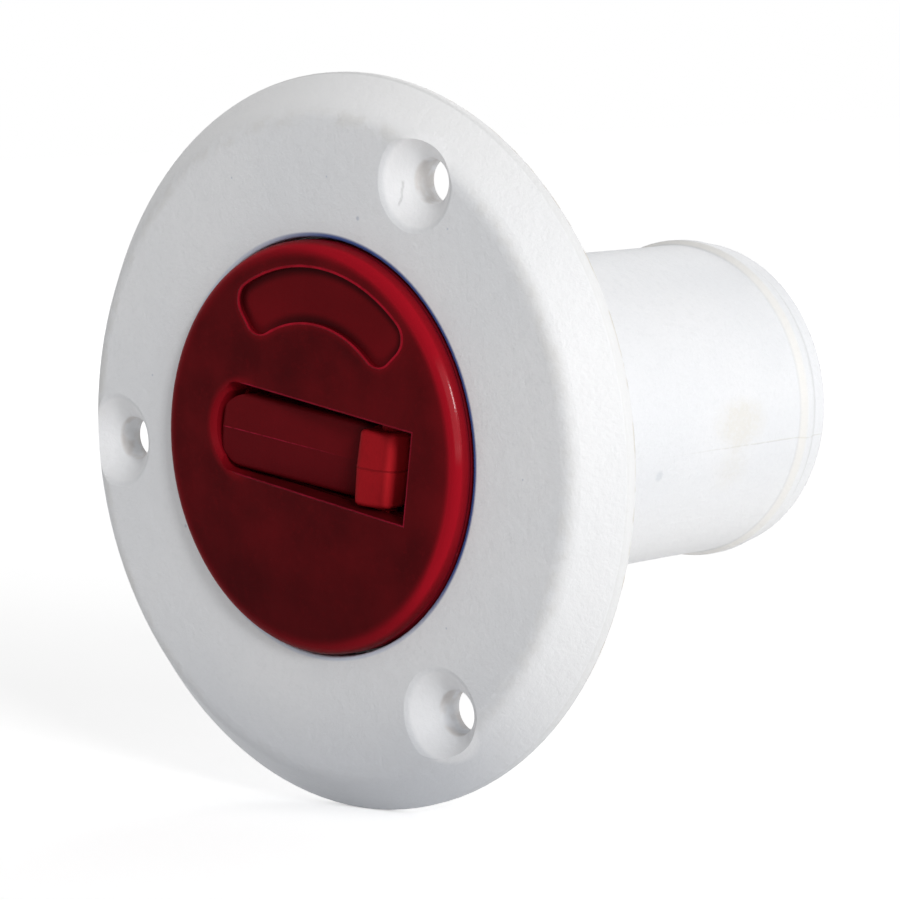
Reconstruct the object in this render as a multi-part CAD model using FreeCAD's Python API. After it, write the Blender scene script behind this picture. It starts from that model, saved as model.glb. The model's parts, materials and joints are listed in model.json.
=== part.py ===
"""Deck filler: flanged hose spigot closed by a screw cap with a fold-flat lever key.

Millimetres. The filler's axis is Y: the flange's back face lies at y = 0, its front looks along -Y and the hose
spigot runs along +Y. Z is up and the origin is the centre of the three screw holes in the back face.
"""
import FreeCAD, Part
import math
import os
from FreeCAD import Placement, Rotation, Vector

# ---- flange and spigot ----
hose_diameter = 38.0            # nominal hose that the spigot fits
spigot_length = 62.0            # behind the flange's back face
wall = 2.8                      # spigot wall
flange_diameter = 83.0
flange_thickness = 5.7
rim_height = 1.2                # upright band around the flange's edge
rim_round = 0.8
shoulder_width = 4.4            # sloping shoulder between the rim and the front face
shoulder_round = 3.0
root_round = 1.5                # where the spigot leaves the flange
screw_inset = 8.0               # flange's edge to the circle of screw holes
screw_count = 3
screw_hole = 5.0
dish_depth = 2.75               # of the 90 degree countersink below the front face
dish_round = 2.0
dish_foot_round = 0.6           # where the countersink meets the hole
dish_lip_slope = 8.0            # degrees from the front face at the lip's outer edge
seat_lip_round = 0.25           # where the cap's seat opens in the front face
bead_rise = 0.6                 # hose-retaining bead above the spigot
bead_land = 1.0
bead_slope = 1.1
bead_root_round = 0.4
bead_from_end = 3.7             # centre of the bead to the end of the spigot
end_rise = 0.1                  # the short land behind the bead is this much prouder than the spigot
end_round = 0.6
mouth_chamfer = 0.7             # inside the spigot's end
edge_round = 0.2                # on the flange's back edge and the bead's crest

# ---- screw cap ----
cap_overlap = 6.95              # cap's edge beyond the bore
cap_proud = 1.8                 # of the flange's front face
cap_round = 1.4
cap_under_round = 0.3
cap_gap = 0.3                   # round the cap in its seat
seat_depth = 3.0                # of the counterbore in the front face
seat_clearance = 0.3            # between the cap's underside and the seat
plate_thickness = 2.8           # the cap's face inside its skirt
plate_root_round = 0.8          # where that meets the skirt
skirt_wall = 1.85
skirt_tail = 1.5                # skirt beyond the thread's end
skirt_round = 0.5
cap_turn = 11.0                 # how far the closed cap stands clockwise of level

# ---- thread between cap and neck ----
thread_pitch = 3.0
thread_depth = 0.9
thread_clearance = 0.15
thread_base = 1.8               # width at the root
thread_crest = 0.9
thread_start = 2.4              # below the cap's underside
thread_angle = 160.0            # where it starts, degrees round from the +X side
thread_turns = 2.7
thread_lead = 2                 # whole turns that the neck's thread runs on, out through the seat
thread_run_out = 0.25           # of a turn, past the ridge's last turn
thread_sink = 0.25              # how far the ridge's foot reaches into its wall

# ---- seal under the cap ----
seal_section = 2.4
seal_outset = 3.9               # seal's middle beyond the bore
seal_clearance = 0.1
seal_squeeze_gap = 0.05

# ---- label recess ----
label_inset = 2.95              # cap's edge to the label
label_band = 6.1
label_half_angle = 42.5
label_depth = 0.5
label_round = 2.2

# ---- lever pocket, along U on the cap's face, with V across it ----
pocket_width = 10.3
pocket_left_reach = 1.03        # round end, past the inside of the skirt
pocket_right_reach = 1.3        # square end, past the inside of the skirt
shelf_depth = 3.6               # of the pocket's two ends
deep_inset = 0.6                # deep part, short of the inside of the skirt
hub_clearance = 0.5             # under the lever's hub
pocket_wall = 1.4
pocket_corner = 1.5
slot_corner = 0.2               # of the square end, seen from the front
nail_ramp = 0.55                # slope at the round end for a fingernail
boss_radius = 4.0
boss_length = 3.2

# ---- lever key ----
lever_side_gap = 0.85           # each side, with the lever in the middle of its pocket
lever_drop = 0.45               # the lever rests this far down its pins
pivot_inset = 6.6               # pocket's square end to the pins
pivot_depth = 4.2               # below the cap's face
tip_gap = 0.43                  # lever's tip to the pocket's round end
tip_depth = 0.55                # of the arm's top at its tip
tip_thickness = 2.55
tip_flat = 0.2                  # between the tip's two round corners, seen from the front
heel_reach = 2.0                # heel's near side to the pins
arm_low_depth = 3.2             # of the arm's top where it meets the heel
arm_root_round = 0.4
ridge_depth = 0.25              # of the heel's highest edge
heel_lean = 12.0                # degrees from level at the start of the heel's crowned top
heel_fall = 46.0                # degrees from level at the crown's end
crown_straight = 0.1            # left straight beside the crown's arc
heel_end_round = 1.2
hub_radius = 2.2
hub_flat = 0.2                  # between the hub's two round corners, seen from the side
mould_draft = 2.0               # degrees, both ways from the parting plane
lever_edge = 0.6                # rounding of the lever's flanks
outline_spare = 0.27            # the side outline's convex corners are this much rounder
pin_radius = 1.25
pin_fit = 0.01
pin_running = 0.06
pin_reach = 2.15                # of a pin into the slot, from a centred lever's side
pin_hole_spare = 0.15
pin_chamfer = 0.2

# ---- tether fixing under the cap ----
tether_core = 1.25              # screw's threaded end
tether_fit = 0.01
tether_hole_depth = 3.9
tether_end_gap = 0.3            # hole's bottom to the screw's end
tether_end_round = 0.3
shoulder_radius = 2.0
shoulder_length = 1.1
screw_head_radius = 3.2
screw_head_height = 1.6
screw_head_round = 0.6
driver_across = 2.5
driver_depth = 1.0
tag_thickness = 0.8
tag_radius = 4.2
tag_running = 0.1
tag_float = 0.15
tag_tongue = 4.0
tag_tongue_flat = 0.6           # between the tongue's two round corners
tag_eye_offset = 4.6
tag_eye = 1.0
tag_end = 1.4
ring_radius = 2.2
ring_wire = 0.4
ring_hang = 0.1                 # inside of the eye, from the ring's middle line

# ---- cutters and joins ----
cutter_spare = 1.0              # how far a cutter runs past the surface that it opens
join_depth = 0.5                # how far a fused boss starts inside its wall
hair = 0.001                    # keeps two round corners from meeting in a point

# ---- worked out from the sizes above ----
spigot_radius = hose_diameter / 2
bore_radius = spigot_radius - wall
flange_radius = flange_diameter / 2
face_y = -flange_thickness
screw_ring_radius = flange_radius - screw_inset
cap_radius = bore_radius + cap_overlap
cap_face_y = face_y - cap_proud
seat_y = face_y + seat_depth
cap_under_y = seat_y - seat_clearance
skirt_radius = bore_radius - thread_clearance
skirt_inner = skirt_radius - skirt_wall
skirt_end_y = cap_under_y + thread_start + thread_turns * thread_pitch + skirt_tail
seal_radius = bore_radius + seal_outset
label_outer = cap_radius - label_inset
pocket_left = skirt_inner + pocket_left_reach
pocket_right = skirt_inner + pocket_right_reach
shelf_y = cap_face_y + shelf_depth
pocket_floor_y = cap_face_y + pivot_depth + hub_radius + hub_clearance
pocket_under_y = pocket_floor_y + pocket_wall
boss_end_y = pocket_under_y + boss_length
tag_low_y = boss_end_y + tag_float
pivot_y = cap_face_y + pivot_depth
pivot_u = pocket_right - pivot_inset
tip_u = tip_gap - pocket_left
lever_width = pocket_width - 2 * lever_side_gap
outline_round = lever_edge + outline_spare

AXIS = Vector(0, 1, 0)
ORIGIN = Vector(0, 0, 0)
parts = {}


def rounded_outline(corners):
    """Closed wire in the XY plane from (x, y) or (x, y, corner radius) corners."""
    count = len(corners)
    points = [Vector(corner[0], corner[1], 0) for corner in corners]
    radii = [corner[2] if len(corner) > 2 else 0.0 for corner in corners]
    enters, leaves, arcs = [], [], []
    for index, here in enumerate(points):
        back = (points[index - 1] - here).normalize()
        ahead = (points[(index + 1) % count] - here).normalize()
        radius = radii[index]
        if radius == 0.0:
            enters.append(here)
            leaves.append(here)
            arcs.append(None)
            continue
        half = back.getAngle(ahead) / 2
        reach = radius / math.tan(half)
        inward = (back + ahead).normalize()
        middle = here + inward * (radius / math.sin(half) - radius)
        enters.append(here + back * reach)
        leaves.append(here + ahead * reach)
        arcs.append(Part.Arc(enters[-1], middle, leaves[-1]).toShape())
    edges = []
    for index in range(count):
        if arcs[index]:
            edges.append(arcs[index])
        start = leaves[index]
        end = enters[(index + 1) % count]
        if start.distanceToPoint(end) > 1e-6:
            edges.append(Part.LineSegment(start, end).toShape())
    return Part.Wire(edges)


def turned(corners):
    """Solid turned about the Y axis from (radius, y) corners."""
    return Part.Face(rounded_outline(corners)).revolve(ORIGIN, AXIS, 360)


def plan_prism(corners, low_y, high_y):
    """Upright prism along Y over an outline of (u, v) corners."""
    wire = rounded_outline(corners)
    wire.rotate(ORIGIN, Vector(1, 0, 0), 90)
    wire.translate(Vector(0, low_y, 0))
    return Part.Face(wire).extrude(Vector(0, high_y - low_y, 0))


def cylinder_y(radius, low_y, high_y, x=0.0, z=0.0):
    """Cylinder along Y."""
    return Part.makeCylinder(radius, high_y - low_y, Vector(x, low_y, z), AXIS)


def helix_body(foot_radius, foot_width, tip_radius, tip_width, start_y, turns):
    """Right-hand helical ridge round the Y axis, starting at start_y."""
    helix = Part.makeHelix(thread_pitch, thread_pitch * turns, foot_radius)
    section = Part.makePolygon([
        Vector(foot_radius, 0, -foot_width / 2),
        Vector(tip_radius, 0, -tip_width / 2),
        Vector(tip_radius, 0, tip_width / 2),
        Vector(foot_radius, 0, foot_width / 2),
        Vector(foot_radius, 0, -foot_width / 2),
    ])
    ridge = Part.Wire(helix.Edges).makePipeShell([section], True, True)
    ridge.rotate(ORIGIN, Vector(1, 0, 0), -90)
    ridge.translate(Vector(0, start_y, 0))
    ridge.rotate(ORIGIN, AXIS, thread_angle)
    return ridge


def with_cap(shape):
    """Turn a shape from the cap's own U and V axes to where the closed cap stands."""
    return shape.rotated(ORIGIN, AXIS, cap_turn)


# ---- flange, neck and spigot in one moulding ----
def make_flange_body():
    bead_y = spigot_length - bead_from_end
    crest = spigot_radius + bead_rise
    land = bead_land / 2
    end_radius = spigot_radius + end_rise
    body = turned([
        (bore_radius, spigot_length - mouth_chamfer),
        (bore_radius + mouth_chamfer, spigot_length),
        (end_radius, spigot_length, end_round),
        (end_radius, bead_y + land + bead_slope, bead_root_round),
        (crest, bead_y + land, edge_round),
        (crest, bead_y - land, edge_round),
        (spigot_radius, bead_y - land - bead_slope, bead_root_round),
        (spigot_radius, 0, root_round),
        (flange_radius, 0, edge_round),
        (flange_radius, -rim_height, rim_round),
        (flange_radius - shoulder_width, face_y, shoulder_round),
        (cap_radius + cap_gap, face_y, seat_lip_round),
        (cap_radius + cap_gap, seat_y),
        (bore_radius, seat_y),
    ])
    start_y = cap_under_y + thread_start - thread_lead * thread_pitch
    groove = helix_body(
        bore_radius - thread_sink,
        thread_base + 2 * thread_clearance,
        bore_radius + thread_depth,
        thread_crest + 2 * thread_clearance,
        start_y,
        thread_turns + thread_lead + thread_run_out,
    )
    body = body.cut(groove)
    for index in range(screw_count):
        angle = math.radians(180 + index * 360 / screw_count)
        tool = make_screw_hole()
        tool.translate(Vector(screw_ring_radius * math.cos(angle), 0, screw_ring_radius * math.sin(angle)))
        body = body.cut(tool)
    return body


def make_screw_hole():
    """Hole with a countersink whose lip rounds over into the front face."""
    hole = screw_hole / 2
    dish = hole + dish_depth
    lip = dish + shoulder_width
    rise = shoulder_width * math.tan(math.radians(dish_lip_slope))
    top_y = face_y - rise - cutter_spare
    return turned([
        (0, cutter_spare),
        (hole, cutter_spare),
        (hole, face_y + dish_depth, dish_foot_round),
        (dish, face_y, dish_round),
        (lip, face_y - rise),
        (lip, top_y),
        (0, top_y),
    ])


# ---- screw cap ----
def slot_outline():
    half = pocket_width / 2
    return [
        (-pocket_left, -half, half - hair),
        (pocket_right, -half, slot_corner),
        (pocket_right, half, slot_corner),
        (-pocket_left, half, half - hair),
    ]


def make_pocket():
    """Space for the lever: shallow over its whole length, deep between the skirt's walls."""
    half = pocket_width / 2
    deep = skirt_inner - deep_inset
    shallow = plan_prism(slot_outline(), cap_face_y - cutter_spare, shelf_y)
    well = plan_prism([
        (-deep, -half, pocket_corner),
        (deep, -half, pocket_corner),
        (deep, half, pocket_corner),
        (-deep, half, pocket_corner),
    ], cap_face_y - cutter_spare, pocket_floor_y)
    ramp_foot = Part.makeCircle(half, Vector(half - pocket_left, cap_face_y + nail_ramp, 0), AXIS)
    ramp = Part.Face(Part.Wire(ramp_foot)).extrude(Vector(-2 * nail_ramp, -2 * nail_ramp, 0))
    return shallow.fuse([well, ramp])


def make_label_recess():
    top_y = cap_face_y - cutter_spare
    floor_y = cap_face_y + label_depth
    ring = cylinder_y(label_outer, top_y, floor_y)
    ring = ring.cut(cylinder_y(label_outer - label_band, top_y, floor_y))
    reach = 2 * label_outer
    across = reach * math.tan(math.radians(label_half_angle))
    wedge = plan_prism([(0, 0), (across, reach), (-across, reach)], top_y, floor_y)
    recess = ring.common(wedge)
    upright = [
        edge for edge in recess.Edges
        if edge.BoundBox.YLength > label_depth and edge.BoundBox.XLength < hair
    ]
    return recess.makeFillet(label_round, upright)


def make_screw_cap():
    cap = turned([
        (0, cap_face_y),
        (cap_radius, cap_face_y, cap_round),
        (cap_radius, cap_under_y, cap_under_round),
        (skirt_radius, cap_under_y),
        (skirt_radius, skirt_end_y, skirt_round),
        (skirt_inner, skirt_end_y, skirt_round),
        (skirt_inner, cap_face_y + plate_thickness, plate_root_round),
        (0, cap_face_y + plate_thickness),
    ])
    half = pocket_width / 2 + pocket_wall
    inside = (skirt_inner + skirt_radius) / 2
    box = Part.makeBox(
        2 * inside, pocket_under_y - shelf_y, 2 * half, Vector(-inside, shelf_y, -half)
    )
    box = box.common(cylinder_y(inside, shelf_y, pocket_under_y))
    boss = cylinder_y(boss_radius, pocket_under_y - join_depth, boss_end_y)
    ridge = helix_body(
        skirt_radius - thread_sink,
        thread_base,
        skirt_radius + thread_depth,
        thread_crest,
        cap_under_y + thread_start,
        thread_turns,
    )
    seal_side = seal_section / 2 + seal_clearance
    groove_floor_y = seat_y - seal_section - 2 * seal_squeeze_gap
    under_y = cap_under_y + cutter_spare
    groove = cylinder_y(seal_radius + seal_side, groove_floor_y, under_y)
    groove = groove.cut(cylinder_y(seal_radius - seal_side, groove_floor_y, under_y))
    reach = half + cutter_spare
    pin_hole = Part.makeCylinder(
        pin_radius + pin_fit, 2 * reach, Vector(pivot_u, pivot_y, -reach), Vector(0, 0, 1)
    )
    screw_bore = cylinder_y(tether_core, boss_end_y - tether_hole_depth, boss_end_y + cutter_spare)
    cap = with_cap(cap.fuse([box, boss]))
    cap = cap.fuse(ridge)
    tools = [make_pocket(), make_label_recess(), pin_hole]
    cap = cap.cut([with_cap(tool) for tool in tools] + [groove, screw_bore])
    return cap


# ---- lever key and its pins ----
def lever_side(heel_left, heel_right):
    """Corners of the lever seen from the side, along U and Y."""
    ridge_y = cap_face_y + ridge_depth
    hub_low_y = pivot_y + hub_radius
    hub_corner = hub_radius - hub_flat / 2
    lean = math.radians(heel_lean)
    fall = math.radians(heel_fall)
    edge_reach = outline_round * math.tan((math.pi / 2 + lean) / 2) * math.cos(lean)
    end_reach = heel_end_round * math.tan((math.pi / 2 - fall) / 2) * math.cos(fall)
    room = heel_right - heel_left - edge_reach - end_reach - crown_straight
    crown_reach = room / (math.cos(lean) + math.cos(fall))
    crown_u = heel_left + edge_reach + crown_straight / 2 + crown_reach * math.cos(lean)
    crown_y = ridge_y + (crown_u - heel_left) * math.tan(lean)
    return [
        (tip_u, cap_face_y + tip_depth, outline_round),
        (heel_left, cap_face_y + arm_low_depth, arm_root_round),
        (heel_left, ridge_y, outline_round),
        (crown_u, crown_y, crown_reach / math.tan((fall - lean) / 2)),
        (heel_right, crown_y + (heel_right - crown_u) * math.tan(fall), heel_end_round),
        (heel_right, hub_low_y, hub_corner),
        (pivot_u - hub_radius, hub_low_y, hub_corner),
        (tip_u, cap_face_y + tip_depth + tip_thickness, outline_round),
    ]


def make_lever():
    """Arm and heel, drafted both ways from a parting plane along the lever's middle."""
    half = lever_width / 2
    heel_right = pivot_u + hub_radius
    shrink = half * math.tan(math.radians(mould_draft))
    middle = rounded_outline(lever_side(pivot_u - heel_reach, heel_right))
    flank = middle.makeOffset2D(-shrink)
    halves = []
    for sign in (1, -1):
        outer = flank.copy()
        outer.translate(Vector(0, 0, sign * half))
        halves.append(Part.makeLoft([middle, outer], True, True))
    lever = halves[0].fuse(halves[1])
    flank_edges = [
        edge for edge in lever.Edges
        if abs(abs(edge.CenterOfMass.z) - half) < hair and edge.BoundBox.ZLength < hair
    ]
    lever = lever.makeFillet(lever_edge, flank_edges)
    corner = half - tip_flat / 2
    plan = plan_prism([
        (tip_u - hair, -half - hair, corner),
        (heel_right + cutter_spare, -half - hair),
        (heel_right + cutter_spare, half + hair),
        (tip_u - hair, half + hair, corner),
    ], cap_face_y, pocket_floor_y)
    lever = lever.common(plan)
    lever.translate(Vector(0, 0, -lever_drop))
    hole_end = half - pin_reach - pin_hole_spare
    for sign in (1, -1):
        hole = Part.makeCylinder(
            pin_radius + pin_running, half + cutter_spare,
            Vector(pivot_u, pivot_y, sign * hole_end), Vector(0, 0, sign)
        )
        lever = lever.cut(hole)
    return with_cap(lever)


def make_pin(sign):
    """Stub pin from the outer face of the pocket's wall into the lever."""
    outer = pocket_width / 2 + pocket_wall
    inner = lever_width / 2 - pin_reach
    pin = Part.makeCylinder(
        pin_radius, outer - inner, Vector(pivot_u, pivot_y, sign * inner), Vector(0, 0, sign)
    )
    ends = [edge for edge in pin.Edges if isinstance(edge.Curve, Part.Circle)]
    return with_cap(pin.makeChamfer(pin_chamfer, ends))


# ---- seal ----
def make_seal():
    centre_y = seat_y - seal_squeeze_gap - seal_section / 2
    return Part.makeTorus(seal_radius, seal_section / 2, Vector(0, centre_y, 0), AXIS)


# ---- tether fixing: shoulder screw, swivel tag and ring ----
def make_tether_screw():
    point_y = boss_end_y - tether_hole_depth + tether_end_gap
    core = tether_core - tether_fit
    shoulder_end_y = boss_end_y + shoulder_length
    head_end_y = shoulder_end_y + screw_head_height
    screw = turned([
        (0, point_y),
        (core, point_y, tether_end_round),
        (core, boss_end_y),
        (shoulder_radius, boss_end_y),
        (shoulder_radius, shoulder_end_y),
        (screw_head_radius, shoulder_end_y),
        (screw_head_radius, head_end_y, screw_head_round),
        (0, head_end_y),
    ])
    corner = driver_across / 2 / math.cos(math.pi / 6)
    turns = [side * math.pi / 3 for side in range(6)]
    hexagon = [(corner * math.cos(turn), corner * math.sin(turn)) for turn in turns]
    return screw.cut(plan_prism(hexagon, head_end_y - driver_depth, head_end_y + cutter_spare))


def make_swivel_tag():
    low_y = tag_low_y
    high_y = low_y + tag_thickness
    half = tag_tongue / 2
    corner = half - tag_tongue_flat / 2
    end_z = -tag_eye_offset - tag_end
    tongue = plan_prism([
        (-half, 0),
        (half, 0),
        (half, end_z, corner),
        (-half, end_z, corner),
    ], low_y, high_y)
    plate = cylinder_y(tag_radius, low_y, high_y).fuse(tongue)
    plate = plate.cut(cylinder_y(shoulder_radius + tag_running, low_y, high_y))
    return plate.cut(cylinder_y(tag_eye, low_y, high_y, z=-tag_eye_offset))


def ring_centre():
    return Vector(0, tag_low_y + tag_thickness / 2, ring_hang - tag_eye_offset - ring_radius)


def make_ring():
    return Part.makeTorus(ring_radius, ring_wire, ring_centre(), Vector(1, 0, 0))


parts["flange_body"] = make_flange_body()
parts["screw_cap"] = make_screw_cap()
parts["lever_key"] = make_lever()
parts["pivot_pin_upper"] = make_pin(1)
parts["pivot_pin_lower"] = make_pin(-1)
parts["cap_seal"] = make_seal()
parts["tether_screw"] = make_tether_screw()
parts["swivel_tag"] = make_swivel_tag()
parts["tether_ring"] = make_ring()

os.makedirs("parts", exist_ok=True)
for name, shape in parts.items():
    shape.exportStep(f"parts/{name}.step")
    solids = len(shape.Solids)
    print(f"{name:18s} solids {solids} valid {shape.isValid()} volume {shape.Volume:9.2f}")
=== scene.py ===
"""Looks for the deck filler: materials, floor, sky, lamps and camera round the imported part."""

import json
import math

import bpy
from mathutils import Matrix, Vector


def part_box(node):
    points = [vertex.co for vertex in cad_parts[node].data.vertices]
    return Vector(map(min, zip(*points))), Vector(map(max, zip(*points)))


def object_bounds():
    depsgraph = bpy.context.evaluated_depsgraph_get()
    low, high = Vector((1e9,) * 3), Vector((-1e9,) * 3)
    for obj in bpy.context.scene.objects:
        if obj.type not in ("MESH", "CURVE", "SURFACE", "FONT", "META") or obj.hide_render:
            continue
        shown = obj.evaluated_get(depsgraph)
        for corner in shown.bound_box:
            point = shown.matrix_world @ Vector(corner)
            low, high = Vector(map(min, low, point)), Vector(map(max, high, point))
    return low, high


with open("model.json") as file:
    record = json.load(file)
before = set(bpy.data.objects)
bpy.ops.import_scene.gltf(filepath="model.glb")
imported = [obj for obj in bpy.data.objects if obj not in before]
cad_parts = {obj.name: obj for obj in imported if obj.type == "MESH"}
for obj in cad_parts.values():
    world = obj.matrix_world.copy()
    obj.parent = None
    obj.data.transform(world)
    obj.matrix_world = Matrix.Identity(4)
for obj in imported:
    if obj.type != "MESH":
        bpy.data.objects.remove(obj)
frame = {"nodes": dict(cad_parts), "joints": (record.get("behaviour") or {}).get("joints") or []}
cad_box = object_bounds()
nodes = frame["nodes"]
bpy.ops.object.select_all(action="DESELECT")


# ---- sizes, in millimetres ----
flange_low, flange_high = (1000 * Vector(corner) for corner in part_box("flange_body"))
cap_low, cap_high = (1000 * Vector(corner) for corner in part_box("screw_cap"))

# flange: its flat back is at y = 0 and its face at face_y
face_y = flange_low.y
rim_radius = flange_high.x
shoulder_radius = 37.1              # where the face turns over into the rim
hole_circle = 33.5
hole_angles = [math.radians(degrees) for degrees in (60, 180, 300)]
hole_radius = 2.4
countersink_radius = 4.9

# spigot
spigot_end = flange_high.y
spigot_radius = 19.0
spigot_seam = math.radians(-13.2)   # angle round the spigot of its mould's parting line
bead_y = spigot_end - 3.7

# cap, lever slot and label recess
cap_radius = cap_high.x
cap_face = cap_low.y
cap_gap = 0.3
seat_radius = cap_radius + cap_gap
slot_half = 5.15
slot_left = 15.23
slot_right = 15.5
label_middle = 17.15                # radius of the recess's middle
label_half_band = 3.05
label_half_angle = math.radians(42.5)
label_round = 2.2

# lever
lever_seam = -0.45                  # height of the lever's parting line across its slot
heel_start = 6.9

# the lever's own directions on the cap's face: across is along its pins
lever_joint = next(joint for joint in frame["joints"] if joint["name"] == "lever_flip")
across = Vector(lever_joint["axis"])
along = Vector((across.z, 0.0, -across.x))


# ---- shader maths ----
class Value:
    """A node's output that takes part in Python expressions."""

    def __init__(self, graph, socket):
        self.graph = graph
        self.socket = socket

    def maths(self, operation, *others):
        return self.graph.maths(operation, self, *others)

    def __add__(self, other):
        return self.maths("ADD", other)

    def __sub__(self, other):
        return self.maths("SUBTRACT", other)

    def __rsub__(self, other):
        return self.graph.maths("SUBTRACT", other, self)

    def __mul__(self, other):
        return self.maths("MULTIPLY", other)

    def __abs__(self):
        return self.maths("ABSOLUTE")

    __radd__ = __add__
    __rmul__ = __mul__

    def at_least(self, other):
        return self.maths("MAXIMUM", other)

    def at_most(self, other):
        return self.maths("MINIMUM", other)

    def rise(self, start, end):
        """0 up to start and 1 from end, with a smooth slope between; end may be the lower of the two."""
        settings = {"interpolation_type": "SMOOTHSTEP"}
        inputs = {"Value": self, "From Min": start, "From Max": end}
        return self.graph.node("MapRange", settings, inputs)

    def band(self, centre, half_width, softness):
        """1 within half_width of centre, fading to 0 over softness."""
        return abs(self - centre).rise(half_width + softness, half_width)


class Graph:
    """A node tree, emptied, and the one way of adding nodes to it."""

    def __init__(self, tree):
        self.tree = tree
        self.tree.nodes.clear()

    def node(self, kind, settings=(), inputs=(), output=0):
        """Any node: its settings first, then the values or links of its sockets."""
        made = self.tree.nodes.new("ShaderNode" + kind)
        for name, value in dict(settings).items():
            setattr(made, name, value)
        for name, value in dict(inputs).items():
            if isinstance(value, Value):
                self.tree.links.new(value.socket, made.inputs[name])
            else:
                made.inputs[name].default_value = value
        return Value(self, made.outputs[output]) if made.outputs else made

    def maths(self, operation, *values):
        return self.node("Math", {"operation": operation}, enumerate(values))

    def seen(self):
        """1 to the camera, in reflections and through glass, and 0 to all other light."""
        rays = ("Is Camera Ray", "Is Glossy Ray", "Is Transmission Ray")
        camera_ray, glossy_ray, transmission_ray = (self.node("LightPath", output=ray) for ray in rays)
        return camera_ray.at_least(glossy_ray).at_least(transmission_ray)


class Shader(Graph):
    """One material and its nodes, with the piece's own coordinates in millimetres."""

    def __init__(self, name):
        self.material = bpy.data.materials.new(name)
        self.material.use_nodes = True
        super().__init__(self.material.node_tree)
        metres = self.node("TexCoord", output="Object")
        self.place = self.node("VectorMath", {"operation": "SCALE"}, {0: metres, "Scale": 1000.0})
        self.x, self.y, self.z = (
            self.node("SeparateXYZ", inputs={"Vector": self.place}, output=axis) for axis in "XYZ"
        )
        self.radius = self.length(self.x, self.z)

    def length(self, first, second):
        return self.maths("SQRT", first * first + second * second)

    def towards(self, direction):
        """How far a point lies in a direction."""
        settings = {"operation": "DOT_PRODUCT"}
        return self.node("VectorMath", settings, {0: self.place, 1: tuple(direction)}, output="Value")

    def away_from(self, x, y, z):
        """Distance from one place."""
        settings = {"operation": "DISTANCE"}
        return self.node("VectorMath", settings, {0: self.place, 1: (x, y, z)}, output="Value")

    def noise(self, per_mm, detail=2.0, roughness=0.5):
        inputs = {"Vector": self.place, "Scale": per_mm, "Detail": detail, "Roughness": roughness}
        return self.node("TexNoise", inputs=inputs)

    def specks(self, per_mm, size, share):
        """Small round spots in a share of the cells; size is a share of a cell."""
        inputs = {"Vector": self.place, "Scale": per_mm}
        distance = self.node("TexVoronoi", inputs=inputs, output="Distance")
        cell_colour = self.node("TexVoronoi", inputs=inputs, output="Color")
        draw = self.node("SeparateXYZ", inputs={"Vector": cell_colour}, output="X")
        return distance.rise(size, 0.3 * size) * draw.rise(share + 0.02, share - 0.02)

    def mix(self, share, first, second):
        """A colour between first and second, which are the Mix node's sockets 6 and 7."""
        settings = {"data_type": "RGBA"}
        return self.node("Mix", settings, {0: share, 6: first, 7: second}, output=2)

    def bump(self, height, millimetres, below=None):
        inputs = {"Height": height, "Distance": millimetres / 1000, "Strength": 1.0}
        if below:
            inputs["Normal"] = below
        return self.node("Bump", inputs=inputs)

    def surface(self, shown):
        """Ends the material with the shader that is shown."""
        self.node("OutputMaterial", inputs={"Surface": shown})
        return self.material

    def finish(self, **sockets):
        """Principled surface from the given sockets."""
        inputs = {name.replace("_", " "): value for name, value in sockets.items()}
        return self.surface(self.node("BsdfPrincipled", inputs=inputs))


def rgb(red, green, blue):
    return (red, green, blue, 1.0)


# ---- white moulded nylon: flange and spigot ----
nylon_dull = rgb(0.79, 0.80, 0.82)
nylon_clean = rgb(0.82, 0.825, 0.84)
nylon_streak = rgb(0.775, 0.785, 0.80)
nylon_mottle = rgb(0.70, 0.71, 0.73)
# blue-tinted painted shade of the gap round the cap's seat
lip_pale_painted_shade = rgb(0.40, 0.47, 0.64)
lip_dark_painted_shade = rgb(0.035, 0.075, 0.26)
shoulder_painted_light = rgb(0.93, 0.93, 0.935)
turn_painted_light = rgb(0.92, 0.92, 0.92)
rim_grey = rgb(0.73, 0.73, 0.73)
crease_grey = rgb(0.66, 0.64, 0.60)
foot_painted_shade = rgb(0.60, 0.62, 0.66)
dish_painted_light = rgb(0.93, 0.93, 0.94)
hole_dirt = rgb(0.46, 0.38, 0.31)
underside_painted_light = rgb(0.95, 0.95, 0.955)
stain_yellow = rgb(0.74, 0.715, 0.65)
spot_grey = rgb(0.52, 0.56, 0.60)
seam_grey = rgb(0.50, 0.47, 0.40)
bead_yellow = rgb(0.88, 0.82, 0.70)
bead_foot_painted_shade = rgb(0.50, 0.49, 0.46)
end_grey = rgb(0.42, 0.42, 0.42)
edge_dirt = rgb(0.52, 0.46, 0.36)
speck_blue = rgb(0.36, 0.41, 0.52)
fleck_bright = rgb(0.90, 0.90, 0.88)
scratch_grey = rgb(0.50, 0.50, 0.50)


def shade_lip(shade, colour):
    """Blue-tinted painted shade of the gap, on the lip round the cap's seat, darkest at the right."""
    x, y, z, radius = shade.x, shade.y, shade.z, shade.radius
    lip = radius.rise(seat_radius + 0.65, seat_radius + 0.30) * radius.rise(seat_radius - 0.15, seat_radius)
    lip = lip * y.rise(face_y + 0.8, face_y + 0.4)
    right_side = (x + 0.45 * z).rise(-4.0, 16.0)
    colour = shade.mix(0.5 * lip * (1 - right_side), colour, lip_pale_painted_shade)
    return shade.mix(lip * right_side, colour, lip_dark_painted_shade)


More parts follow.
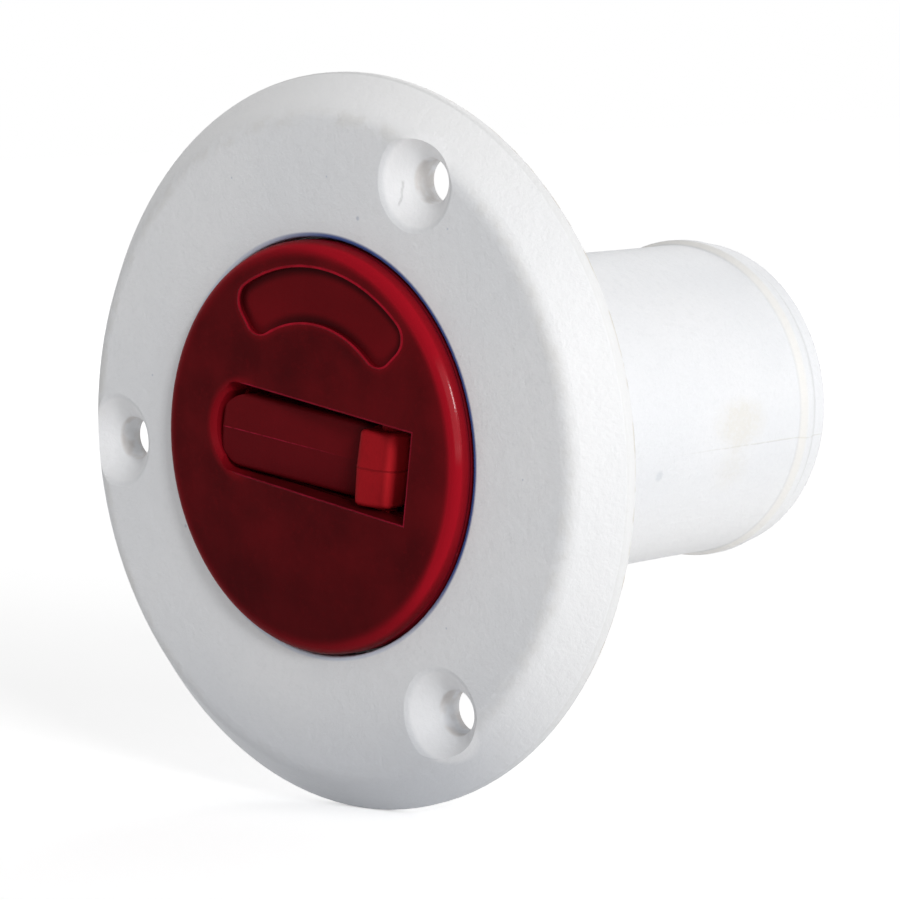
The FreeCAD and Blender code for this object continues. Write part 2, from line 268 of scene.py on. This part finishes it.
def shade_rim(shade, colour, skin):
    """Painted light where the face turns over, on the top and the right, and painted shade round the
    flange's lower foot.
    """
    x, y, z, radius = shade.x, shade.y, shade.z, shade.radius
    past_shoulder = radius - shoulder_radius
    before_back = y.rise(0.5, -0.5)
    top = past_shoulder.rise(-1.1, 1.9) * before_back * z.rise(18.0, 38.0)
    turn = past_shoulder.rise(-0.6, 0.3) * before_back * (x + 0.3 * z).rise(-10.0, 20.0)
    land = radius.rise(rim_radius - 0.25, rim_radius - 0.1) * y.rise(-2.6, -1.6)
    crease = past_shoulder.band(-0.4, 0.2, 1.1) * y.rise(-4.0, -5.0) * skin.rise(0.35, 0.7)
    foot = (radius - 0.35 * z).rise(34.0, 52.0) * before_back * x.rise(34.0, 14.0) * x.rise(-36.0, -14.0)
    # painted light on the top and the right of the shoulder
    colour = shade.mix(0.8 * top, colour, shoulder_painted_light)
    colour = shade.mix(0.45 * turn, colour, turn_painted_light)
    colour = shade.mix(0.7 * land, colour, rim_grey)
    colour = shade.mix(0.30 * crease, colour, crease_grey)
    # painted shade on the flange's lower foot
    return shade.mix(0.75 * foot, colour, foot_painted_shade)


def shade_screw_holes(shade, colour, skin):
    """Painted light in the countersinks, more in the upper ones, and dirt inside the holes."""
    y, z = shade.y, shade.z
    in_countersink = y.rise(face_y + 0.1, face_y + 0.5) * y.rise(-2.0, -3.0)
    dish_light_share = 0.45 + 0.3 * z.rise(0.0, 20.0)
    dirt = 0.45 * skin.rise(0.35, 0.6)
    for angle in hole_angles:
        across_hole = shade.x - hole_circle * math.cos(angle)
        up_hole = z - hole_circle * math.sin(angle)
        off_hole = shade.length(across_hole, up_hole)
        dish = off_hole.rise(countersink_radius + 0.7, countersink_radius) * in_countersink
        colour = shade.mix(dish_light_share * dish, colour, dish_painted_light)
        colour = shade.mix(dirt * off_hole.rise(hole_radius + 0.3, hole_radius), colour, hole_dirt)
    return colour


def spigot_stain(shade):
    """How stained the spigot is: a blotch, and a fainter one below it."""
    x, y, z = shade.x, shade.y, shade.z
    ragged = 2.2 * (shade.noise(0.35, 3.0) - 0.5)
    blotch = (shade.length(0.72 * (y - 45.6), z + 1.6) + ragged).rise(4.2, 0.8) * x.rise(0.0, 5.0)
    lower_blotch = (shade.away_from(18.2, 45.2, -7.0) + ragged).rise(4.4, 0.8)
    return (blotch + 0.4 * lower_blotch) * (0.6 + 0.8 * shade.noise(1.6, 3.0, 0.7).rise(0.3, 0.7))


def spigot_seam_dirt(shade, streaks):
    """Dirt along the spigot's parting line, more of it towards the end."""
    on_spigot = shade.y.rise(2.0, 3.0) * shade.radius.rise(spigot_radius + 0.9, spigot_radius + 0.7)
    off_seam = shade.x * math.sin(spigot_seam) - shade.z * math.cos(spigot_seam)
    wander = 0.12 * (shade.noise(0.3) - 0.5)
    seam = (off_seam + wander).band(0.0, 0.03, 0.09) * on_spigot
    return seam * (0.10 + 0.90 * shade.y.rise(34.0, 48.0)) * streaks.rise(0.25, 0.5)


def shade_spigot(shade, colour, stain, seam_dirt, streaks):
    """Painted light on the underside, marks of use, the hose bead with painted shade at its feet, and the
    dull edge of the end.
    """
    y, z, radius = shade.y, shade.z, shade.radius
    underside = z.rise(-6.0, -17.0) * y.rise(1.0, 2.0)
    spot = shade.away_from(17.9, 31.6, -6.5).rise(0.85, 0.35)
    off_spigot = radius.rise(spigot_radius, spigot_radius + 0.1)
    bead_flank = y.band(bead_y - 0.9, 0.2, 0.45) * off_spigot
    bead_foot_shade = (y.band(bead_y + 1.2, 0.06, 0.3) + y.band(bead_y - 1.5, 0.06, 0.3)) * off_spigot
    end_edge = y.rise(spigot_end - 0.75, spigot_end - 0.35)
    end_edge = end_edge * radius.rise(spigot_radius - 0.7, spigot_radius - 0.2)
    # painted light on the spigot's underside
    colour = shade.mix(0.9 * underside, colour, underside_painted_light)
    colour = shade.mix(0.55 * stain.at_most(1.0), colour, stain_yellow)
    colour = shade.mix(0.35 * spot, colour, spot_grey)
    colour = shade.mix(0.30 * seam_dirt, colour, seam_grey)
    colour = shade.mix(0.30 * bead_flank, colour, bead_yellow)
    # painted shade lines at the bead's feet
    colour = shade.mix(0.2 * bead_foot_shade, colour, bead_foot_painted_shade)
    return shade.mix(0.5 * end_edge * streaks.rise(0.53, 0.66), colour, end_grey)


def white_nylon():
    shade = Shader("white_nylon")
    x, y, z, radius = shade.x, shade.y, shade.z, shade.radius
    cloud = shade.noise(0.05, 3.0)
    grain = shade.noise(2.6, 3.0, 0.6)
    skin = shade.noise(0.45, 2.0)
    streaks = shade.noise(1.1, 2.0)
    mottle = shade.noise(2.2, 4.0, 0.7)
    pebble = shade.noise(1.5, 3.0, 0.65)
    colour = shade.mix(cloud.rise(0.35, 0.65), nylon_dull, nylon_clean)
    colour = shade.mix(0.35 * streaks.rise(0.45, 0.75), colour, nylon_streak)
    colour = shade.mix(0.30 * mottle.rise(0.5, 0.75), colour, nylon_mottle)

    stain = spigot_stain(shade)
    seam_dirt = spigot_seam_dirt(shade, streaks)
    colour = shade_lip(shade, colour)
    colour = shade_rim(shade, colour, skin)
    colour = shade_screw_holes(shade, colour, skin)
    colour = shade_spigot(shade, colour, stain, seam_dirt, streaks)

    # rubbed dirt along the flange's back edge
    back_edge = y.band(0.05, 0.12, 0.35) * radius.rise(rim_radius - 0.8, rim_radius - 0.2)
    colour = shade.mix(0.7 * back_edge * skin.rise(0.45, 0.65), colour, edge_dirt)

    # dark specks on the face, pale flecks all over, and a scratch in the upper countersink
    specks = shade.specks(0.16, 0.055, 0.55).at_least(shade.specks(0.33, 0.06, 0.22))
    flecks = shade.specks(0.45, 0.09, 0.20)
    off_scratch = x - 13.3 + 0.5 * (shade.noise(0.9) - 0.5)
    scratch = off_scratch.band(0.0, 0.02, 0.13) * z.band(27.9, 1.1, 0.4)
    colour = shade.mix(0.5 * specks * y.rise(-4.0, -5.0), colour, speck_blue)
    colour = shade.mix(0.35 * flecks, colour, fleck_bright)
    colour = shade.mix(0.45 * scratch, colour, scratch_grey)

    normal = shade.bump(grain, 0.03)
    normal = shade.bump(skin, 0.08, normal)
    normal = shade.bump(pebble, 0.065, normal)
    normal = shade.bump(0.3 * flecks + 0.3 * seam_dirt - 0.6 * scratch, 0.05, normal)
    roughness = 0.46 + 0.18 * grain + 0.1 * stain
    return shade.finish(Base_Color=colour, Roughness=roughness, Specular_IOR_Level=0.4, Normal=normal)


# ---- red moulded nylon: cap, lever and pins ----
mottle_red = rgb(0.17, 0.005, 0.008)
cap_red = rgb(0.066, 0.0027, 0.0042)
cap_red_warm = rgb(0.112, 0.0042, 0.0064)
cap_red_lower_painted_shade = rgb(0.050, 0.0024, 0.0036)
roll_painted_light = rgb(0.36, 0.0060, 0.0150)
slot_edge_painted_light = rgb(0.26, 0.0052, 0.0115)
label_edge_painted_light = rgb(0.22, 0.0048, 0.0100)
wall_painted_light = rgb(0.20, 0.0060, 0.0130)
slot_lip_painted_highlight = rgb(0.32, 0.010, 0.030)
label_lip_painted_highlight = rgb(0.40, 0.009, 0.024)
label_floor_red = rgb(0.135, 0.0045, 0.0070)
label_shade_red = rgb(0.030, 0.0018, 0.0026)
flash_shade_red = rgb(0.035, 0.002, 0.003)
nick_pink = rgb(0.42, 0.05, 0.08)
lever_red = rgb(0.112, 0.0040, 0.0064)
lever_red_warm = rgb(0.136, 0.0048, 0.0078)
lever_lower_painted_shade = rgb(0.070, 0.0028, 0.0056)
heel_painted_light = rgb(0.31, 0.0085, 0.0130)
heel_mottle_red = rgb(0.18, 0.006, 0.009)
arm_painted_shadow = rgb(0.014, 0.0012, 0.0018)
heel_slope_painted_light = rgb(0.60, 0.018, 0.026)
lever_flash_red = rgb(0.42, 0.016, 0.045)
lever_crease_red = rgb(0.11, 0.0036, 0.0052)


def red_tones(shade, dull, warm):
    """Slightly uneven red: slow clouds and a fine mottle."""
    cloud = shade.noise(0.12, 3.0)
    mottle = shade.noise(1.4, 3.0, 0.65)
    colour = shade.mix(cloud.rise(0.3, 0.7), dull, warm)
    return shade.mix(0.25 * mottle.rise(0.5, 0.8), colour, mottle_red)


def red_skin(shade, raised):
    """Grain, faint waviness and whatever stands raised on the surface."""
    grain = shade.noise(3.2, 3.0, 0.6)
    normal = shade.bump(grain, 0.012)
    normal = shade.bump(shade.noise(0.5), 0.04, normal)
    return grain, shade.bump(raised, 0.12, normal)


def slot_distance(shade, u, v):
    """Distance outside the slot's outline: round at the left, square at the right."""
    end = (u + (slot_left - slot_half)).at_most(0.0)
    return (shade.length(end, v) - slot_half).at_least(u - slot_right)


def label_distance(shade, u, v):
    """Distance outside the label recess, a band round the cap with rounded ends."""
    out = abs(shade.radius - label_middle) - label_half_band + label_round
    side = abs(u) * math.cos(label_half_angle) - v * math.sin(label_half_angle) + label_round
    corner = shade.length(out.at_least(0.0), side.at_least(0.0))
    return corner + out.at_least(side).at_most(0.0) - label_round


def red_nylon_cap():
    shade = Shader("red_nylon")
    u, v, y, radius = shade.towards(along), shade.towards(across), shade.y, shade.radius
    from_edge = cap_radius - radius
    on_face = y.rise(cap_face + 0.25, cap_face + 0.1)
    ragged = 0.30 * (shade.noise(0.8, 4.0, 0.75) - 0.5)
    patches = shade.noise(0.45, 3.0).rise(0.35, 0.65)
    slot = slot_distance(shade, u, v)
    label = label_distance(shade, u, v)
    colour = red_tones(shade, cap_red, cap_red_warm)
    # painted shade towards the cap's lower side
    colour = shade.mix(0.4 * v.rise(-6.0, -19.0), colour, cap_red_lower_painted_shade)

    # painted light where the face rolls over into its edges, brighter towards the right, round the slot's
    # left end, round the label recess and on the cap's shaded side wall
    sunny = (u + 0.3 * v).rise(-14.0, 22.0) * (0.45 + 0.55 * v.rise(-18.0, -1.0))
    roll = from_edge.rise(2.35, 0.85) * (0.40 + 0.60 * from_edge.rise(0.05, 0.55))
    roll = roll * (0.50 + 0.50 * sunny) + 0.36 * from_edge.rise(5.65, 1.65) * sunny
    roll = (roll + 0.30 * from_edge.rise(1.05, 0.55) * u.rise(0.0, -12.0)).at_most(1.0)
    slot_edge = slot.rise(1.3, 0.0) * u.rise(-8.0, -13.0)
    label_edge = label.rise(1.1, 0.0) * (0.35 + 0.65 * v.rise(17.0, 11.0))
    side_wall = y.rise(cap_face + 1.2, cap_face + 1.5) * from_edge.rise(0.55, 0.15)
    colour = shade.mix(roll * roll, colour, roll_painted_light)
    colour = shade.mix(0.85 * slot_edge, colour, slot_edge_painted_light)
    colour = shade.mix(0.55 * label_edge * (1 - roll), colour, label_edge_painted_light)
    colour = shade.mix(side_wall, colour, wall_painted_light)

    # thin raised edges left by moulding round the slot and the label recess, with painted highlights on
    # them; a lighter floor in the recess, with painted shadow under its upper edge
    slot_lip = (slot + ragged).band(0.09, 0.03, 0.12) * on_face * u.rise(-14.0, -10.5)
    slot_lip = slot_lip * (0.5 + 0.5 * patches)
    label_lip = (label + 0.6 * ragged).band(0.10, 0.08, 0.18) * on_face
    label_lip = label_lip * (0.55 + 0.45 * patches)
    label_floor = label.rise(0.1, -0.1) * on_face.rise(1.0, 0.0)
    label_shade = label_floor * label.rise(-1.3, -0.3) * v.rise(9.0, 15.0)
    colour = shade.mix(0.85 * slot_lip, colour, slot_lip_painted_highlight)
    colour = shade.mix(0.90 * label_lip, colour, label_lip_painted_highlight)
    colour = shade.mix(0.45 * label_floor, colour, label_floor_red)
    colour = shade.mix(0.85 * label_shade, colour, label_shade_red)

    # flash line and nicks round the cap's edge
    flash = (y + 0.3 * ragged).band(cap_face + 1.75, 0.03, 0.10) * from_edge.rise(0.55, 0.15)
    nicked = from_edge.rise(0.45, 0.15) * y.rise(cap_face + 2.4, cap_face + 1.2)
    nicks = shade.specks(0.55, 0.16, 0.25) * nicked
    colour = shade.mix(0.45 * flash, colour, flash_shade_red)
    colour = shade.mix(0.6 * nicks, colour, nick_pink)

    grain, normal = red_skin(shade, slot_lip + label_lip + 0.4 * nicks - 0.7 * flash)
    polish = from_edge.band(0.50, 0.15, 0.20) * v.band(8.5, 3.5, 2.5) * u.rise(8.0, 16.0)
    return shade.finish(
        Base_Color=colour,
        Roughness=0.30 + 0.14 * grain,
        Specular_IOR_Level=0.02,
        Coat_Weight=0.45 * polish,
        Coat_Roughness=0.13,
        Normal=normal,
    )


def red_nylon_lever():
    shade = Shader("red_nylon_lever")
    u, v = shade.towards(along), shade.towards(across)
    off_seam = v - lever_seam + 0.10 * (shade.noise(0.5) - 0.5)
    on_heel = u.rise(heel_start - 0.2, heel_start + 0.1)
    ragged = shade.noise(0.9, 3.0, 0.7).rise(0.3, 0.6)
    mottle = shade.noise(0.7, 3.0).rise(0.45, 0.7)
    flash = off_seam.band(0.0, 0.02, 0.07) * u.rise(5.0, -8.0) * ragged
    crease = off_seam.band(0.0, 0.05, 0.12) * on_heel
    below_seam = off_seam.rise(0.05, -0.05) * (1 - on_heel)
    heel_corner = u.rise(3.6, 6.6) * (1 - on_heel)
    heel_slope = u.rise(10.2, 10.9) * on_heel
    colour = red_tones(shade, lever_red, lever_red_warm)
    # painted shade on the arm below its seam, painted light on the heel and its slope, and the heel's
    # painted shadow on the arm just before it
    colour = shade.mix(0.22 * below_seam, colour, lever_lower_painted_shade)
    colour = shade.mix(on_heel, colour, heel_painted_light)
    colour = shade.mix(0.22 * on_heel * mottle, colour, heel_mottle_red)
    colour = shade.mix(0.85 * heel_corner, colour, arm_painted_shadow)
    colour = shade.mix(heel_slope, colour, heel_slope_painted_light)
    colour = shade.mix(0.75 * flash, colour, lever_flash_red)
    colour = shade.mix(0.40 * crease, colour, lever_crease_red)
    grain, normal = red_skin(shade, 0.5 * flash - 0.4 * crease)
    roughness = 0.34 + 0.14 * grain
    return shade.finish(Base_Color=colour, Roughness=roughness, Specular_IOR_Level=0.03, Normal=normal)


# ---- stainless steel: tether fixing ----
steel_grey = rgb(0.52, 0.52, 0.50)
steel_bright = rgb(0.62, 0.61, 0.59)
steel_scuffed = rgb(0.38, 0.37, 0.35)


def stainless_steel():
    shade = Shader("stainless_steel")
    turning = shade.noise(8.0, 2.0)
    scuffs = shade.noise(1.2, 3.0, 0.6).rise(0.5, 0.75)
    colour = shade.mix(turning, steel_grey, steel_bright)
    colour = shade.mix(0.5 * scuffs, colour, steel_scuffed)
    normal = shade.bump(turning, 0.006)
    return shade.finish(Base_Color=colour, Metallic=1.0, Roughness=0.2 + 0.16 * turning, Normal=normal)


# ---- nitrile rubber: cap seal ----
rubber_black = rgb(0.012, 0.012, 0.012)
rubber_grey = rgb(0.026, 0.026, 0.025)
rubber_bloom = rgb(0.045, 0.045, 0.044)


def nitrile_rubber():
    shade = Shader("nitrile_rubber")
    grain = shade.noise(4.0, 2.0)
    bloom = shade.noise(0.6, 3.0).rise(0.5, 0.7)
    colour = shade.mix(grain, rubber_black, rubber_grey)
    colour = shade.mix(0.4 * bloom, colour, rubber_bloom)
    return shade.finish(Base_Color=colour, Roughness=0.42 + 0.2 * grain, Normal=shade.bump(grain, 0.01))


white, cap_nylon, lever_nylon = white_nylon(), red_nylon_cap(), red_nylon_lever()
steel, rubber = stainless_steel(), nitrile_rubber()
finishes = {
    "flange_body": white,
    "screw_cap": cap_nylon,
    "lever_key": lever_nylon,
    "pivot_pin_upper": lever_nylon,
    "pivot_pin_lower": lever_nylon,
    "cap_seal": rubber,
    "tether_screw": steel,
    "swivel_tag": steel,
    "tether_ring": steel,
}
for name, finish in finishes.items():
    nodes[name].data.materials.clear()
    nodes[name].data.materials.append(finish)


# ---- floor ----
floor_size = 40.0                   # metres
floor_colour = rgb(0.90, 0.90, 0.90)
floor_glow = 0.64                   # what makes the floor white where it gets light from the sky alone
glow_less = 0.28                    # the share less of it near the part, where the lamps add theirs
lamplit_near = 250.0                # millimetres from the part
lamplit_far = 800.0


def floor_material():
    """White to the camera and in reflections, but for the object's shadow; pale grey to the light."""
    shade = Shader("floor")
    lit = shade.node("BsdfDiffuse", inputs={"Color": floor_colour})
    glow = shade.node("Emission", inputs={"Color": rgb(1, 1, 1), "Strength": floor_glow})
    whitened = shade.node("AddShader", inputs={0: lit, 1: glow})
    lamplit = shade.length(shade.x, shade.y).rise(lamplit_far, lamplit_near)
    whiteness = shade.seen() * (1 - glow_less * lamplit)
    return shade.surface(shade.node("MixShader", inputs={0: whiteness, 1: lit, 2: whitened}))


low, high = (Vector(corner) for corner in cad_box)
bpy.ops.mesh.primitive_plane_add(size=floor_size, location=(0, 0, low.z))
floor = bpy.context.object
floor.name = "floor"
floor.data.materials.append(floor_material())


# ---- sky ----
def light_sky(plain_strength, seen_strength):
    """Even light from all round, which is brighter to the camera and in reflections."""
    world = bpy.data.worlds.new("sky")
    bpy.context.scene.world = world
    world.use_nodes = True
    sky = Graph(world.node_tree)
    ends = {"Value": sky.seen(), "To Min": plain_strength, "To Max": seen_strength}
    strength = sky.node("MapRange", inputs=ends)
    background = sky.node("Background", inputs={"Color": rgb(1, 1, 1), "Strength": strength})
    sky.node("OutputWorld", inputs={"Surface": background})


light_sky(plain_strength=0.43, seen_strength=1.0)


# ---- lamps: places and sizes in metres ----
def lamp(name, place, width, watts, height=None):
    """A soft lamp aimed at the object's middle, square unless it has a height."""
    data = bpy.data.lights.new(name, "AREA")
    data.shape = "RECTANGLE"
    data.size = width
    data.size_y = height or width
    data.energy = watts
    holder = bpy.data.objects.new(name, data)
    bpy.context.scene.collection.objects.link(holder)
    holder.location = place
    aim = (low + high) / 2 - Vector(place)
    holder.rotation_euler = aim.to_track_quat("-Z", "Y").to_euler()


lamp("side", (1.10, 0.13, 0.275), width=0.3, watts=1.9)
lamp("key", (0.97, -0.485, 0.39), width=0.22, watts=4.9)
lamp("strip", (1.10, -0.31, 0.16), width=0.03, watts=0.7, height=0.4)
lamp("low", (0.95, 0.55, 0.00), width=0.07, watts=1.5)
lamp("back", (-0.50, 0.95, 0.60), width=0.4, watts=1.6)

# ---- camera ----
viewpoint = Vector((0.2867, -0.2869, 0.0346))
forward = Vector((-0.6853, 0.7229, -0.0883)).normalized()
right = Vector((0.7278, 0.6842, -0.0475))
right = (right - right.dot(forward) * forward).normalized()
up = right.cross(forward)
lens = bpy.data.cameras.new("camera")
lens.lens = 144.8
lens.sensor_width = 36.0
lens.clip_start = 0.01
camera = bpy.data.objects.new("camera", lens)
bpy.context.scene.collection.objects.link(camera)
turn = Matrix((right, up, -forward)).transposed().to_4x4()
camera.matrix_world = Matrix.Translation(viewpoint) @ turn
bpy.context.scene.camera = camera
bpy.context.scene.view_settings.view_transform = "Standard"
